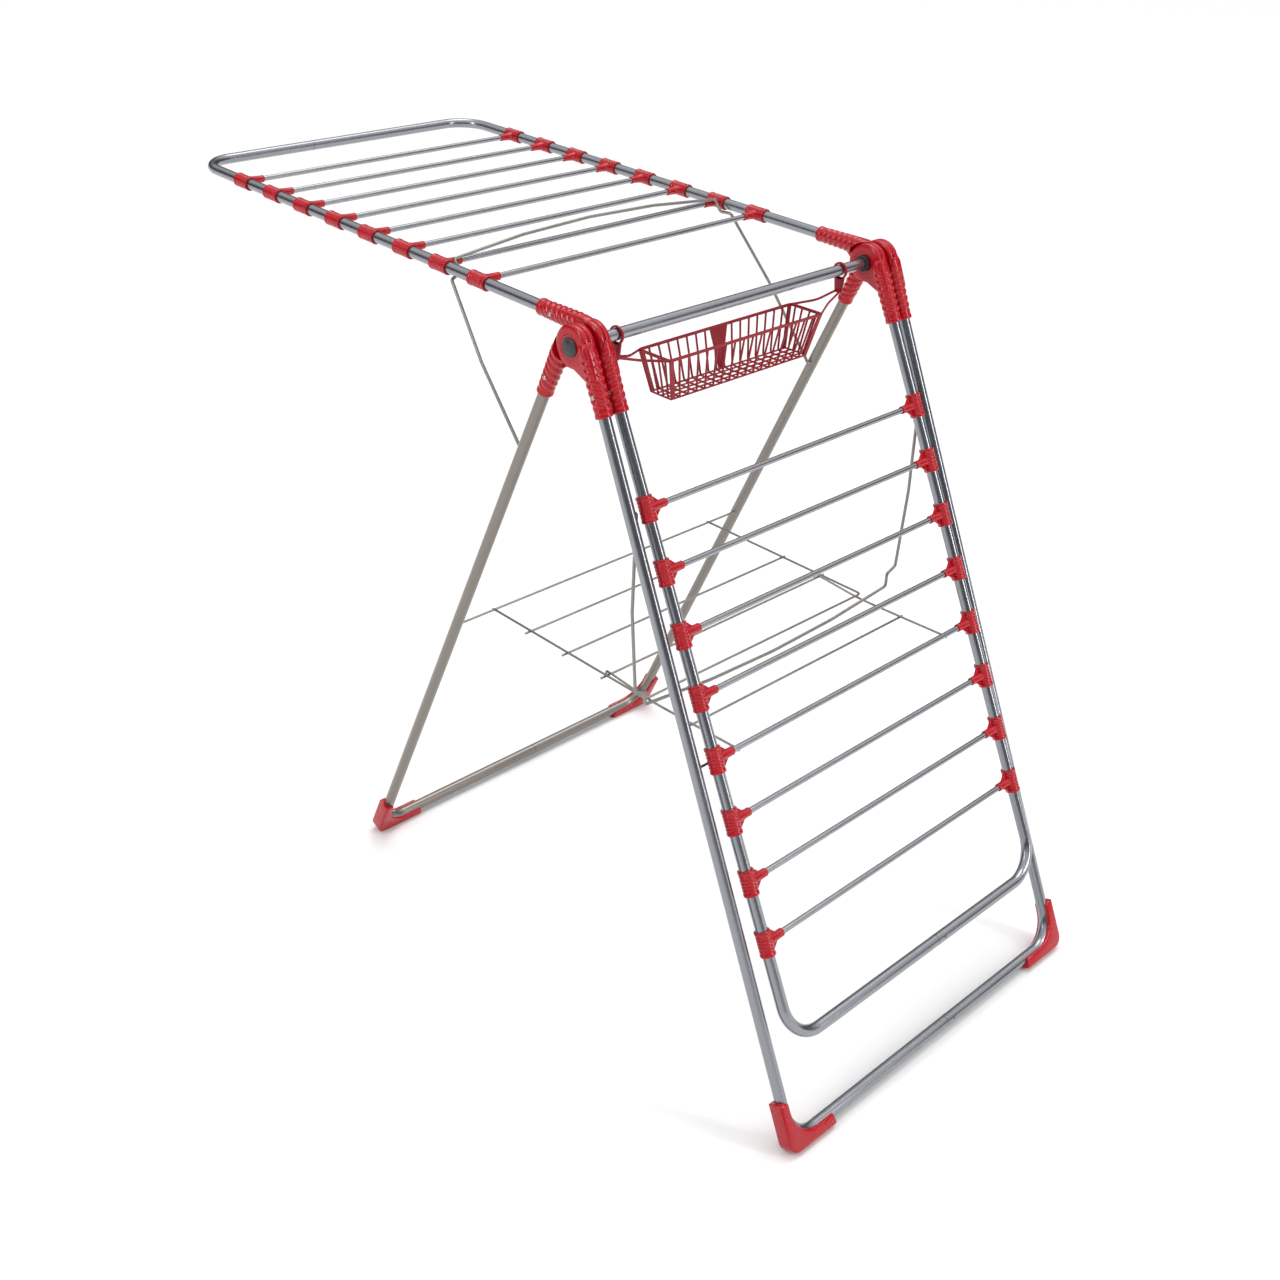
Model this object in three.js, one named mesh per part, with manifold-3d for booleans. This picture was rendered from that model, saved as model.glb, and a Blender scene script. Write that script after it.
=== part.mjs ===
// Folding winged clothes drying rack.
// Two bent-tube leg frames open like an A round one crossbar. Two bent-tube wing frames with eight
// slim bars each turn on the same crossbar, inside the legs: the rear wing is raised and propped on
// a wire stay, the front wing hangs along the front legs. A two-part wire shelf ties the legs
// together and a small peg basket hangs on the crossbar.
// Millimetres, +Z up, X along the crossbar, +Y towards the raised wing. Origin: centre of the
// footprint at floor level.
import * as THREE from 'three';
import { mergeVertices } from 'three/addons/utils/BufferGeometryUtils.js';
import Module from 'manifold-3d';

const wasm = await Module();
wasm.setup();

// ---- driving dimensions ------------------------------------------------------------------------
const TUBE_R = 8;            // leg, wing and crossbar tube, 16 mm
const WALL = 0.9;            // tube wall
const BAR_R = 4;             // drying bars, 8 mm
const STAY_R = 2.3;          // wire stays
const WIRE_R = 1.7;          // shelf wire
const GAP = 0.3;             // air left between touching pieces

const X_LEG = 290.5;         // leg tube axis, each side
const X_WING = 265.5;        // wing rail axis, each side
const LEG_ANGLE = 23.84;     // each leg from the vertical
const LEG_LEN = 1034;        // hinge to bottom bar
const LEG_OFF = 18.9;        // leg axis beside the hinge axis
const WING_OFF = 18.2;       // rail axis beside the hinge axis
const UP_ANGLE = 91.38;      // raised wing, from straight down
const LOW_ANGLE = 25.15;     // hanging wing, from straight down
const UP_LEN = 903;          // hinge to end bar, raised wing
const LOW_LEN = 911;         // hinge to end bar, hanging wing
const LEG_BEND = 42;         // bend radii at the tube axis
const WING_BEND = 50;
const SOLE = 13.4;           // bottom bar axis above the floor

const DISC_R = 28;           // hinge knuckle disc
const KNUCKLE_HALF = 9.6;    // half width of a knuckle pair
const SLEEVE_END = 91;       // knuckle sleeve end, from the hinge
const TUBE_START = 31;       // tube end inside the sleeve

const BAR_FIRST = 212;       // first bar from the hinge
const BAR_PITCH = 80.3;
const BARS = 8;
const CLIP_LEN = 33;
const CLIP_R = 10.7;

const STAY_AT = 212;         // stay pivot, along the leg
const SHELF_AT = 537;        // shelf pivot, along the leg
const SHELF_PITCH = 78;

const RED = 0xb8121d, DARK = 0x2f3437, BLACK = 0x17181a;
const STEEL = 0x6f747b, WARM = 0x77716c, SILVER = 0xa9acb2, ZINC = 0x8d8a86;

// ---- helpers -------------------------------------------------------------------------------------
const rad = a => a * Math.PI / 180;
const V = (x, y, z) => new THREE.Vector3(x, y, z);
// direction of a leg or wing hanging from the hinge, swung by a (degrees) towards +Y, and the
// direction in which its tube stands off from the hinge axis (side +1 rear, -1 front)
function swing(a, side) {
  const t = rad(a);
  return { d: V(0, side * Math.sin(t), -Math.cos(t)), n: V(0, side * Math.cos(t), Math.sin(t)) };
}
function at(frame, off, x, s) { return V(x, 0, 0).addScaledVector(frame.n, off).addScaledVector(frame.d, s); }

const FRONT = swing(LEG_ANGLE, -1), REAR = swing(LEG_ANGLE, 1);
const UP = swing(UP_ANGLE, 1), LOW = swing(LOW_ANGLE, -1);
const HINGE_Z = -at(FRONT, LEG_OFF, 0, LEG_LEN).z + SOLE;

function solid(geometry) {
  const g = geometry.clone();
  g.deleteAttribute('normal'); g.deleteAttribute('uv');
  const m = mergeVertices(g, 1e-4);
  return new wasm.Manifold(new wasm.Mesh({ numProp: 3,
    vertProperties: new Float32Array(m.attributes.position.array),
    triVerts: new Uint32Array(m.index.array) }));
}
function geometryOf(man) {
  const mesh = man.getMesh(), n = mesh.numProp, p = new Float32Array(mesh.vertProperties.length / n * 3);
  for (let i = 0; i < p.length / 3; i++) for (let k = 0; k < 3; k++) p[3 * i + k] = mesh.vertProperties[n * i + k];
  const g = new THREE.BufferGeometry();
  g.setAttribute('position', new THREE.BufferAttribute(p, 3));
  g.setIndex(new THREE.BufferAttribute(new Uint32Array(mesh.triVerts), 1));
  g.computeVertexNormals();
  return g;
}
const union = list => list.reduce((a, b) => a.add(b));

const hole = (r, sides) => r / Math.cos(Math.PI / sides);   // corner radius of a polygon that clears r

// a path through given points, each bend rounded
class Route extends THREE.Curve {
  constructor(points) { super(); this.points = points; }
  getSpacedPoints() { return this.points.map(p => p.clone()); }
  getTangentAt(u) {
    const p = this.points, n = p.length - 1, i = Math.round(u * n), t = V(0, 0, 0);
    if (i > 0) t.add(p[i].clone().sub(p[i - 1]).normalize());
    if (i < n) t.add(p[i + 1].clone().sub(p[i]).normalize());
    return t.normalize();
  }
  getPoint(u) { return this.points[Math.round(u * (this.points.length - 1))].clone(); }
}
function rounded(corners, radius, steps = 5) {
  const out = [corners[0].clone()];
  for (let i = 1; i < corners.length - 1; i++) {
    const r = Array.isArray(radius) ? radius[i - 1] : radius;
    const a = corners[i - 1].clone().sub(corners[i]).normalize(), b = corners[i + 1].clone().sub(corners[i]).normalize();
    const half = a.angleTo(b) / 2;
    if (r <= 0 || half > 1.55) { out.push(corners[i].clone()); continue; }
    const cut = r / Math.tan(half);
    const c = corners[i].clone().addScaledVector(a.clone().add(b).normalize(), r / Math.sin(half));
    const p0 = corners[i].clone().addScaledVector(a, cut).sub(c), p1 = corners[i].clone().addScaledVector(b, cut).sub(c);
    const turn = p0.angleTo(p1);
    for (let k = 0; k <= steps; k++) {
      const f = k / steps;
      out.push(p0.clone().multiplyScalar(Math.sin((1 - f) * turn) / Math.sin(turn)).addScaledVector(p1, Math.sin(f * turn) / Math.sin(turn)).add(c));
    }
  }
  out.push(corners[corners.length - 1].clone());
  return out;
}
function ring(r, sides, turn = 0) {
  const pts = [];
  for (let i = 0; i < sides; i++) { const a = turn + 2 * Math.PI * i / sides; pts.push(new THREE.Vector2(r * Math.cos(a), r * Math.sin(a))); }
  return pts;
}
function sweep(points, r, sides, inner = 0) {
  const shape = new THREE.Shape(ring(r, sides));
  if (inner) shape.holes.push(new THREE.Path(ring(inner, sides)));
  return new THREE.ExtrudeGeometry(shape, { steps: points.length - 1, bevelEnabled: false, extrudePath: new Route(points) });
}
const rod = (a, b, r, sides) => solid(sweep([a, b], r, sides));
// a turned piece: profile [radius, along] pairs, standing on a, pointing along dir
function turned(profile, a, dir, sides) {
  const g = new THREE.LatheGeometry([[0, profile[0][1]], ...profile, [0, profile[profile.length - 1][1]]].map(p => new THREE.Vector2(p[0], p[1])), sides);
  g.applyQuaternion(new THREE.Quaternion().setFromUnitVectors(V(0, 1, 0), dir.clone().normalize()));
  g.translate(a.x, a.y, a.z);
  let s = solid(g);
  if (s.volume() < 0) { g.index.array.reverse(); s = solid(g); }
  return s;
}
// a flat outline (y, z) pushed from x0 to x1
function plate(outline, x0, x1) {
  const shape = new THREE.Shape(outline.map(p => new THREE.Vector2(p[0], p[1])));
  const g = new THREE.ExtrudeGeometry(shape, { depth: x1 - x0, bevelEnabled: false, steps: 1 });
  g.applyMatrix4(new THREE.Matrix4().makeBasis(V(0, 1, 0), V(0, 0, 1), V(1, 0, 0)));
  g.translate(x0, 0, 0);
  return solid(g);
}
function box(x0, x1, y0, y1, z0, z1) {
  const g = new THREE.BoxGeometry(x1 - x0, y1 - y0, z1 - z0);
  g.translate((x0 + x1) / 2, (y0 + y1) / 2, (z0 + z1) / 2);
  return solid(g);
}

const rack = new THREE.Group();
rack.position.set(0, 0, HINGE_Z);
function add(name, geometry, color, roughness, metalness) {
  const m = new THREE.Mesh(geometry, new THREE.MeshStandardMaterial({ color, roughness, metalness }));
  m.name = name;
  rack.add(m);
  return m;
}

// ---- bent-tube frames ------------------------------------------------------------------------------
function frameRoute(f, off, x, len, bend) {
  return rounded([at(f, off, -x, TUBE_START), at(f, off, -x, len), at(f, off, x, len), at(f, off, x, TUBE_START)], bend, 4);
}
const frameSolid = (f, off, x, len, bend) => solid(sweep(frameRoute(f, off, x, len, bend), TUBE_R, 10, TUBE_R - WALL));
const bore = (f, off, x, len, bend) => solid(sweep(frameRoute(f, off, x, len, bend).map((p, i, a) => i === 0 || i === a.length - 1 ? p.clone().addScaledVector(f.d, -2.2) : p), hole(TUBE_R + GAP, 10), 10));

const RIVET_AT = 64;         // rivet through each sleeve, from the hinge
const RIVET_R = 1.9;
function rivetHole(f, off, x) {      // hole on the outer side only
  const s = Math.sign(x);
  return rod(at(f, off, x + s * 3, RIVET_AT), at(f, off, x + s * 16, RIVET_AT), hole(RIVET_R + 0.2, 6), 6);
}
function pinHole(f, off, x, s, r) {  // hole in the inner side of a leg
  const k = Math.sign(x);
  return rod(at(f, off, x - k * 4.5, s), at(f, off, x - k * 12, s), hole(r - 0.1, 6), 6);
}
function legFrame(f) {
  let t = frameSolid(f, LEG_OFF, X_LEG, LEG_LEN, LEG_BEND);
  for (const x of [-X_LEG, X_LEG]) {
    t = t.subtract(rivetHole(f, LEG_OFF, x));
    t = t.subtract(pinHole(f, LEG_OFF, x, STAY_AT, STAY_R + 0.4));
    t = t.subtract(pinHole(f, LEG_OFF - 1.2, x, SHELF_AT, WIRE_R + 0.75));
  }
  return t;
}
add('front_leg_frame', geometryOf(legFrame(FRONT)), STEEL, 0.35, 0.9);
add('rear_leg_frame', geometryOf(legFrame(REAR)), WARM, 0.4, 0.9);
function wingFrame(f, len) {
  let t = frameSolid(f, WING_OFF, X_WING, len, WING_BEND);
  for (const x of [-X_WING, X_WING]) t = t.subtract(rivetHole(f, WING_OFF, x));
  return t;
}
add('raised_wing_frame', geometryOf(wingFrame(UP, UP_LEN)), STEEL, 0.35, 0.9);
add('lower_wing_frame', geometryOf(wingFrame(LOW, LOW_LEN)), STEEL, 0.35, 0.9);

// ---- crossbar, end caps and bushings -----------------------------------------------------------------
const BAR_END = X_LEG + 6;
add('crossbar', sweep([V(-BAR_END, 0, 0), V(BAR_END, 0, 0)], TUBE_R, 12, TUBE_R - WALL), SILVER, 0.3, 0.9);
for (const [side, k] of [['left', -1], ['right', 1]]) {
  const face = X_LEG + KNUCKLE_HALF + GAP;
  // domed cap over the knuckle's bore, with a plug inside the crossbar
  const cap = turned([[12.6, 0], [12.6, 1.2], [11.4, 2.4], [7, 3.1]], V(k * face, 0, 0), V(k, 0, 0), 14)
    .add(turned([[TUBE_R - WALL - 0.9, -14], [TUBE_R - WALL - 0.9, 0.6]], V(k * face, 0, 0), V(k, 0, 0), 8));
  add('end_cap_' + side, geometryOf(cap), DARK, 0.5, 0);
  // flanged bushing between the crossbar and the inner wing knuckle
  const inner = X_WING - KNUCKLE_HALF - GAP;
  const bush = turned([[12, -5], [12, 0]], V(k * inner, 0, 0), V(k, 0, 0), 14)
    .subtract(rod(V(k * (inner + 2), 0, 0), V(k * (inner - 8), 0, 0), hole(TUBE_R + 0.2, 14), 14));
  add('bushing_' + side, geometryOf(bush), BLACK, 0.5, 0);
}

// ---- hinge knuckles ------------------------------------------------------------------------------------
// Half-width disc round the crossbar, merging into a sleeve that grips the tube. Two knuckles
// share one plane, so each disc fills one half of the width and the sleeve clears the other disc.
function knuckle(angle, side, off, x, outerHalf) {
  const s = Math.sign(x), hw = KNUCKLE_HALF;
  const own = outerHalf ? [x + s * 0.2, x + s * hw] : [x - s * 0.2, x - s * hw];
  const other = outerHalf ? [x, x - s * (hw + 6)] : [x, x + s * (hw + 6)];
  const [o0, o1] = [Math.min(...own), Math.max(...own)], [m0, m1] = [Math.min(...other), Math.max(...other)];
  const disc = rod(V(o0, 0, 0), V(o1, 0, 0), DISC_R, 20);
  // neck that joins disc and sleeve, in the disc's own half
  const k = side, neck = plate(k > 0
    ? [[0, 0], [-9, -21], [off - 4, -50], [off + 10, -46], [off + 11, -6], [14, 0]]
    : [[0, 0], [-14, 0], [-off - 11, -6], [-off - 10, -46], [-off + 4, -50], [9, -21]], o0, o1);
  // sleeve, turned about the tube axis: domed top, flared lip
  const ribs = [[6, 2], [11.2, -6], [12.2, -24], [10.6, -84], [11.3, -87], [11.3, -SLEEVE_END]];
  let sleeve = turned(ribs.slice().reverse(), V(x, k * off, 0), V(0, 0, 1), 12);
  // keep the sleeve clear of the mating disc and, above the shoulder, of the mating half
  const clearDisc = rod(V(m0, 0, 0), V(m1, 0, 0), hole(DISC_R + 0.4, 20), 20);
  sleeve = sleeve.subtract(clearDisc).subtract(box(m0, m1, -60, 60, -3, 40));
  let body = union([disc, neck, sleeve]);
  body = body.subtract(rod(V(x - 40, 0, 0), V(x + 40, 0, 0), hole(TUBE_R + 0.2, 14), 14));
  body = body.subtract(rod(V(x, k * off, -TUBE_START + 2), V(x, k * off, -SLEEVE_END - 5), hole(TUBE_R + GAP, 10), 10));
  body = body.subtract(rod(V(x + s * 3, k * off, -RIVET_AT), V(x + s * 16, k * off, -RIVET_AT), hole(RIVET_R + 0.2, 6), 6));
  // square the outer faces off at the knuckle's width, above the sleeve
  const g = geometryOf(body);
  g.applyMatrix4(new THREE.Matrix4().makeRotationX(rad(k * angle)));
  return g;
}
for (const [sideName, k] of [['left', -1], ['right', 1]]) {
  add('front_leg_knuckle_' + sideName, knuckle(LEG_ANGLE, -1, LEG_OFF, k * X_LEG, true), RED, 0.25, 0);
  add('rear_leg_knuckle_' + sideName, knuckle(LEG_ANGLE, 1, LEG_OFF, k * X_LEG, false), RED, 0.25, 0);
  add('raised_wing_knuckle_' + sideName, knuckle(UP_ANGLE, 1, WING_OFF, k * X_WING, true), RED, 0.25, 0);
  add('lower_wing_knuckle_' + sideName, knuckle(LOW_ANGLE, -1, WING_OFF, k * X_WING, false), RED, 0.25, 0);
  // one rivet holds each sleeve on its tube
  for (const [nm, f, off, x] of [['front_leg', FRONT, LEG_OFF, X_LEG], ['rear_leg', REAR, LEG_OFF, X_LEG]]) {
    const r = turned([[RIVET_R, -5.6], [RIVET_R, 3.4], [3.2, 3.4], [2.6, 4.6]], at(f, off, k * (x + 8.2), RIVET_AT), V(k, 0, 0), 8);
    add(nm + '_rivet_' + sideName, geometryOf(r), 0x9a9a98, 0.35, 1);
  }
}

// ---- corner feet ---------------------------------------------------------------------------------------
// Moulded shoe over the outer half of each bottom corner, cut level with the floor.
function foot(f, k) {
  const R = 12.4, up = 58, along = 72, w = 11.2, c = 16;
  const n = f.n, d = f.d, base = at(f, LEG_OFF, k * X_LEG, LEG_LEN);
  // outline in the frame's plane: u along the bottom bar (inwards), v up the leg
  const pts = [[-R, up]];
  for (let i = 0; i <= 3; i++) { const t = Math.PI + i * Math.PI / 6; pts.push([-R + c + c * Math.cos(t), -R + c + c * Math.sin(t)]); }
  pts.push([along, -R], [along + 4, -R + 4], [along, 3], [LEG_BEND + 2, 3]);
  for (let i = 1; i < 3; i++) { const t = -Math.PI / 2 - i * Math.PI / 6, r = LEG_BEND - 3; pts.push([LEG_BEND + r * Math.cos(t), LEG_BEND + r * Math.sin(t)]); }
  pts.push([3, LEG_BEND + 2], [3, up - 4], [-2, up]);
  const shape = new THREE.Shape(pts.map(p => new THREE.Vector2(p[0], p[1])));
  const g = new THREE.ExtrudeGeometry(shape, { depth: 2 * w, bevelEnabled: false, steps: 1 });
  g.translate(0, 0, -w);
  const ux = V(-k, 0, 0), vy = d.clone().multiplyScalar(-1), wz = new THREE.Vector3().crossVectors(ux, vy);
  g.applyMatrix4(new THREE.Matrix4().makeBasis(ux, vy, wz));
  g.translate(base.x, base.y, base.z);
  let s = solid(g);
  const floor = -HINGE_Z;
  s = s.subtract(bore(f, LEG_OFF, X_LEG, LEG_LEN, LEG_BEND));
  s = s.subtract(box(base.x - 200, base.x + 200, base.y - 200, base.y + 200, floor - 60, floor));
  return geometryOf(s);
}
for (const [sideName, k] of [['left', -1], ['right', 1]]) {
  add('front_foot_' + sideName, foot(FRONT, k), RED, 0.3, 0);
  add('rear_foot_' + sideName, foot(REAR, k), RED, 0.3, 0);
}

// ---- drying bars with their snap-on end clips -----------------------------------------------------------
function clippedBar(f, s) {
  const parts = [rod(at(f, WING_OFF, -X_WING + 12, s), at(f, WING_OFF, X_WING - 12, s), BAR_R, 8)];
  const h = CLIP_LEN / 2;
  for (const k of [-1, 1]) {
    const c = at(f, WING_OFF, k * X_WING, s - h);
    let clip = turned([[CLIP_R, 0], [CLIP_R, CLIP_LEN]], c, f.d, 10);
    const boss = turned([[6.8, 0], [5.4, 24]], at(f, WING_OFF, k * (X_WING - 7), s), V(-k, 0, 0), 8);
    clip = clip.add(boss).subtract(rod(at(f, WING_OFF, k * X_WING, s - h - 3), at(f, WING_OFF, k * X_WING, s + h + 3), hole(TUBE_R + GAP, 10), 10));
    parts.push(clip);
  }
  return geometryOf(union(parts));
}
for (let i = 0; i < BARS; i++) {
  add('raised_wing_bar_' + (i + 1), clippedBar(UP, BAR_FIRST + i * BAR_PITCH), SILVER, 0.3, 0.8);
  add('lower_wing_bar_' + (i + 1), clippedBar(LOW, BAR_FIRST + i * BAR_PITCH), SILVER, 0.3, 0.8);
}

// ---- wire stays -------------------------------------------------------------------------------------------
// One flat wire form each: ends bent out into the legs, two long arms, a jog inwards under the wing's
// rails, a short riser and a bowed span that lies behind the second bar.
const STAY_X = 279.4, STAY_FOOT_X = 268, STAY_IN_X = 249.5;
function stay(pivot, dir) {
  const P = (x, u) => V(x, pivot.y + dir.y * u, pivot.z + dir.z * u);
  const half = [P(-(X_LEG - 4.6), 0), P(-STAY_X, 0), P(-STAY_X, 138), P(-STAY_FOOT_X, 256.5), P(-STAY_IN_X, 263.5), P(-STAY_IN_X, 284), P(-125, 296)];
  const other = half.slice().reverse().map(p => V(-p.x, p.y, p.z));
  const pts = rounded([...half, P(0, 300), ...other], [4, 0, 5, 5, 5, 0, 0, 0, 5, 5, 5, 0, 4], 2);
  return sweep(pts, STAY_R, 6);
}
const rearPivot = at(REAR, LEG_OFF, 0, STAY_AT), frontPivot = at(FRONT, LEG_OFF, 0, STAY_AT);
const bar7 = at(UP, WING_OFF, 0, BAR_FIRST + BAR_PITCH);
const reach = bar7.clone().sub(rearPivot), STAY_TILT = Math.atan2(reach.z, reach.y) + Math.asin((6.4 + STAY_R + 0.5) / reach.length());
add('rear_stay', stay(rearPivot, V(0, Math.cos(STAY_TILT), Math.sin(STAY_TILT))), ZINC, 0.4, 1);
add('front_stay', stay(frontPivot, V(0, 0, -1)), ZINC, 0.4, 1);

// ---- folding wire shelf ------------------------------------------------------------------------------------
const shelfZ = at(REAR, LEG_OFF - 1.2, 0, SHELF_AT).z, shelfY = at(REAR, LEG_OFF - 1.2, 0, SHELF_AT).y;
const PIN_X = X_LEG - 4.6;
{
  const z = shelfZ, y1 = shelfY, y5 = shelfY - 4 * SHELF_PITCH, X = 223;
  const loop = rounded([V(-X, y1 + 3.2, z - 1), V(-X, y1, z), V(-X, y5, z), V(X, y5, z), V(X, y1, z), V(X, y1 + 3.2, z - 1)], [0, 6, 6, 0], 3);
  const parts = [solid(sweep(loop, WIRE_R, 6)), rod(V(-PIN_X, y1, z - 0.4), V(PIN_X, y1, z - 0.4), WIRE_R, 6)];
  for (let i = 1; i < 4; i++) parts.push(rod(V(-X - 8, y1 - i * SHELF_PITCH, z - 2.6), V(X + 8, y1 - i * SHELF_PITCH, z - 2.6), WIRE_R, 6));
  add('shelf_rear_half', geometryOf(union(parts)), ZINC, 0.4, 1);
}
{
  const z = shelfZ, y7 = -shelfY, y4 = shelfY - 3 * SHELF_PITCH, y5 = shelfY - 4 * SHELF_PITCH, X = 216.5;
  const parts = [rod(V(-PIN_X, y7, z - 0.4), V(PIN_X, y7, z - 0.4), WIRE_R, 6)];
  for (const k of [-1, 1]) {
    const side = rounded([V(k * X, y7 - 6, z - 1.2), V(k * X, y7, z), V(k * X, y5 - 24, z - 4.2), V(k * X, y5 + 4, z - 4.2), V(k * X, y4 - 6, z + 1.4), V(k * X, y4 + 4.6, z + 1.4), V(k * X, y4 + 5.6, z - 4.5)], [0, 0, 0, 0, 2.2], 3);
    parts.push(solid(sweep(side, WIRE_R, 6)));
  }
  parts.push(rod(V(-X - 8, y7 + SHELF_PITCH, z - 5.4), V(X + 8, y7 + SHELF_PITCH, z - 5.4), WIRE_R, 6));
  add('shelf_front_half', geometryOf(union(parts)), ZINC, 0.4, 1);
}

// ---- peg basket ----------------------------------------------------------------------------------------------
{
  const XC = -9.5, RX = 146.5, RY = 27.5, BX = 131, BY = 18.5, ZR = -43, ZB = -101, RINGX = 213.5;
  const parts = [];
  const bar = (a, b, w, h) => {     // rectangular slat between two points
    const shape = new THREE.Shape([new THREE.Vector2(-w / 2, -h / 2), new THREE.Vector2(w / 2, -h / 2), new THREE.Vector2(w / 2, h / 2), new THREE.Vector2(-w / 2, h / 2)]);
    return solid(new THREE.ExtrudeGeometry(shape, { steps: 1, bevelEnabled: false, extrudePath: new Route([a, b]) }));
  };
  const lerp = (a, b, t) => a + (b - a) * t;
  // rim and floor frame
  for (const k of [-1, 1]) {
    parts.push(bar(V(XC - RX - 1.5, k * RY, ZR), V(XC + RX + 1.5, k * RY, ZR), 4, 3));
    parts.push(bar(V(XC + k * RX, -RY - 1.5, ZR), V(XC + k * RX, RY + 1.5, ZR), 4, 3));
    parts.push(bar(V(XC - BX, k * BY, ZB), V(XC + BX, k * BY, ZB), 3, 3));
    parts.push(bar(V(XC + k * BX, -BY - 1.5, ZB), V(XC + k * BX, BY + 1.5, ZB), 3, 3));
  }
  parts.push(bar(V(XC - BX, 0, ZB), V(XC + BX, 0, ZB), 3, 2.6));
  parts.push(bar(V(XC, RY, ZR), V(XC, BY, ZB), 26, 1.6));      // plain panel in the rear side
  const N = 17;
  for (let i = 0; i <= N; i++) {
    const t = i / N;
    for (const k of [-1, 1]) parts.push(bar(V(lerp(XC - RX, XC + RX, t), k * RY, ZR), V(lerp(XC - BX, XC + BX, t), k * BY, ZB), i % N ? 2.6 : 7, 2.2));
    if (i % N) parts.push(bar(V(lerp(XC - BX, XC + BX, t), -BY, ZB), V(lerp(XC - BX, XC + BX, t), BY, ZB), 2.2, 2.4));
  }
  for (const k of [-1, 1]) for (const y of [-9, 0, 9]) parts.push(bar(V(XC + k * RX, y * RY / 20, ZR), V(XC + k * BX, y * BY / 20, ZB), 2.2, 2.6));
  // hangers: a ring round the crossbar, a plate below it and two straps to the rim's corners
  for (const k of [-1, 1]) {
    const x = XC + k * RINGX;
    const hoop = turned([[12.2, -1.6], [12.2, 1.6]], V(x, 0, -0.9), V(1, 0, 0), 14);
    const web = plate([[-8, -6], [8, -6], [5.5, -32], [-5.5, -32]], x - 1.5, x + 1.5);
    parts.push(hoop.add(web).subtract(rod(V(x - 5, 0, -0.9), V(x + 5, 0, -0.9), TUBE_R + 1.3, 14)));
    for (const j of [-1, 1]) {
      const mid = V(XC + k * (RX + 34), j * 10, -39);
      parts.push(solid(sweep([V(x - k * 0.5, j * 3.5, -29), mid, V(XC + k * RX, j * (RY - 0.5), ZR)], 1.7, 6)));
    }
  }
  add('peg_basket', geometryOf(union(parts).simplify(0.02)), RED, 0.35, 0);
}

// centre the footprint on the origin
{
  const b = new THREE.Box3().setFromObject(rack, true);
  rack.position.y = -(b.min.y + b.max.y) / 2;
}

export default rack;
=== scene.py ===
import math

import bmesh
import bpy
from mathutils import Matrix, Vector


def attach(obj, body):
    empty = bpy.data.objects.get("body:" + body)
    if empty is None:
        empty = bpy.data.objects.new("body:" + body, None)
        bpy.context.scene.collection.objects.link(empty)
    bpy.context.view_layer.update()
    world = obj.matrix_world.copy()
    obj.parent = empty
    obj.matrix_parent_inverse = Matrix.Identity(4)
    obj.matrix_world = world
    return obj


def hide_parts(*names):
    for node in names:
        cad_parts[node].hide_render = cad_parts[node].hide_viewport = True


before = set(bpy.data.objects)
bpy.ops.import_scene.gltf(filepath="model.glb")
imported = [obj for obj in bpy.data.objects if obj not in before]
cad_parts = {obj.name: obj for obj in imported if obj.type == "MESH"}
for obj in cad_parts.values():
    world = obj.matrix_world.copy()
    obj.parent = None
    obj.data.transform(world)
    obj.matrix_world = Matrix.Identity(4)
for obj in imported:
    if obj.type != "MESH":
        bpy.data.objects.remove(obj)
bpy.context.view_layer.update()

HZ, YS = 951.5377, -229.8945           # hinge axis in the row frame
TR, BAR, STAY, WIRE = 7.90, 3.95, 2.25, 1.7
XL, XW, LOFF, WOFF = 290.5, 265.5, 18.9, 18.2
LEG_LEN, UP_LEN, LOW_LEN = 1034, 903, 911
LEG_A, UP_A, LOW_A = 23.84, 91.38, 25.15
FIRST, PITCH, BARS = 212, 80.3, 8
rad = math.radians


def V(x, y, z):
    return Vector((x, y, z))


def swing(a, side):
    t = rad(a)
    return (V(0, side * math.sin(t), -math.cos(t)), V(0, side * math.cos(t), math.sin(t)))


def at(f, off, x, s):
    return V(x, 0, 0) + f[1] * off + f[0] * s


FRONT, REAR, UP, LOW = swing(LEG_A, -1), swing(LEG_A, 1), swing(UP_A, 1), swing(LOW_A, -1)


# ---- mesh tools ----------------------------------------------------------------------------------
class Build:
    def __init__(self):
        self.v, self.f, self.m, self.loose = [], [], [], []

    def add(self, verts, faces, mat=0, turn=None):
        o = len(self.v)
        self.v += [turn @ p if turn else p for p in verts]
        self.f += [tuple(i + o for i in f) for f in faces]
        self.m += [mat] * len(faces)

    def make(self, name, mats, body, nodes, sharp=38):
        me = bpy.data.meshes.new(name)
        me.from_pydata([((p.x) / 1000, (p.y + YS) / 1000, (p.z + HZ) / 1000) for p in self.v], [], self.f)
        for mt in mats:
            me.materials.append(mt)
        for p, k in zip(me.polygons, self.m):
            p.material_index = k
        bm = bmesh.new()
        bm.from_mesh(me)
        bmesh.ops.recalc_face_normals(bm, faces=bm.faces)
        bm.to_mesh(me)
        bm.free()
        me.shade_smooth()
        me.set_sharp_from_angle(angle=rad(sharp))
        ob = bpy.data.objects.new(name, me)
        bpy.context.scene.collection.objects.link(ob)
        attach(ob, body)
        if nodes:
            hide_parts(*nodes)
        return ob


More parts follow.
